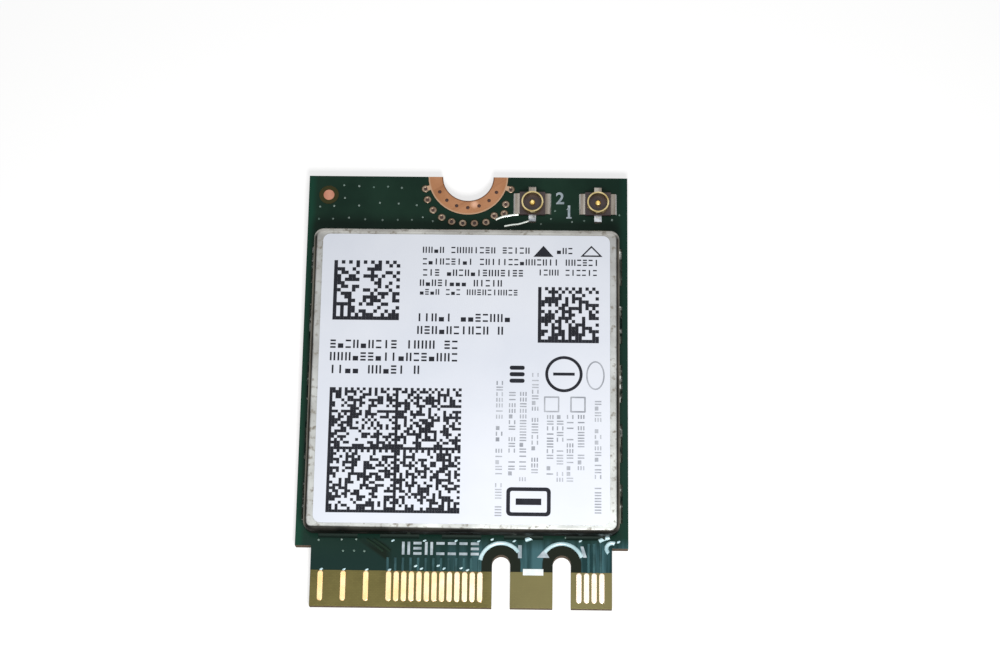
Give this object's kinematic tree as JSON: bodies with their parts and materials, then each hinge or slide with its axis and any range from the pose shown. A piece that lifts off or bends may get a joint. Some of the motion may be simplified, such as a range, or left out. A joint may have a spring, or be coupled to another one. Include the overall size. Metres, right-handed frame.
{
  "type": "wireless network card",
  "caption": "Small card-edge wireless network module: green board with gold edge contacts and key notches, shield can with label, coaxial antenna sockets and a half-round screw notch.",
  "frame": {"origin": "centre of the card's outline on its underside", "axes": "+X right, +Y from the edge contacts to the screw notch, +Z out of the component side"},
  "size_m": [0.022, 0.03, 0.0023],
  "materials": {
    "board": "dark green solder mask over laminate",
    "contact_gold": "gold plating",
    "ring_copper": "bare copper, lightly toned",
    "socket_gold": "gold plating",
    "socket_black": "dark moulded plastic",
    "solder": "bright solder",
    "shield_sheet": "tinned sheet metal",
    "label_paper": "white label stock",
    "chip_black": "moulded chip package",
    "ceramic_grey": "fired ceramic",
    "ceramic_tan": "fired ceramic with tinned ends",
    "coil_grey": "moulded ferrite",
    "resistor_black": "glazed face with tinned ends"
  },
  "bodies": {
    "root": {"circuit_board": "board", "edge_contacts_top": "contact_gold", "edge_contacts_bottom": "contact_gold", "annular_ring": "ring_copper", "ground_via_pads": "contact_gold", "fiducial_mark": "ring_copper", "shield_frame": "shield_sheet", "shield_lid": "shield_sheet", "shield_solder": "solder", "label": "label_paper", "radio_chip": "chip_black", "front_end_module_1": "chip_black", "front_end_module_2": "chip_black", "settings_memory": "chip_black", "band_filter_1": "ceramic_grey", "band_filter_2": "ceramic_grey", "crystal_package": "ceramic_grey", "crystal_lid": "shield_sheet", "power_inductor_1": "coil_grey", "power_inductor_2": "coil_grey", "capacitors": "ceramic_tan", "resistors": "resistor_black", "antenna_socket_1_shell": "socket_gold", "antenna_socket_1_insulator": "socket_black", "antenna_socket_1_pin": "socket_gold", "antenna_socket_1_solder": "solder", "antenna_socket_2_shell": "socket_gold", "antenna_socket_2_insulator": "socket_black", "antenna_socket_2_pin": "socket_gold", "antenna_socket_2_solder": "solder"}
  },
  "joints": []
}
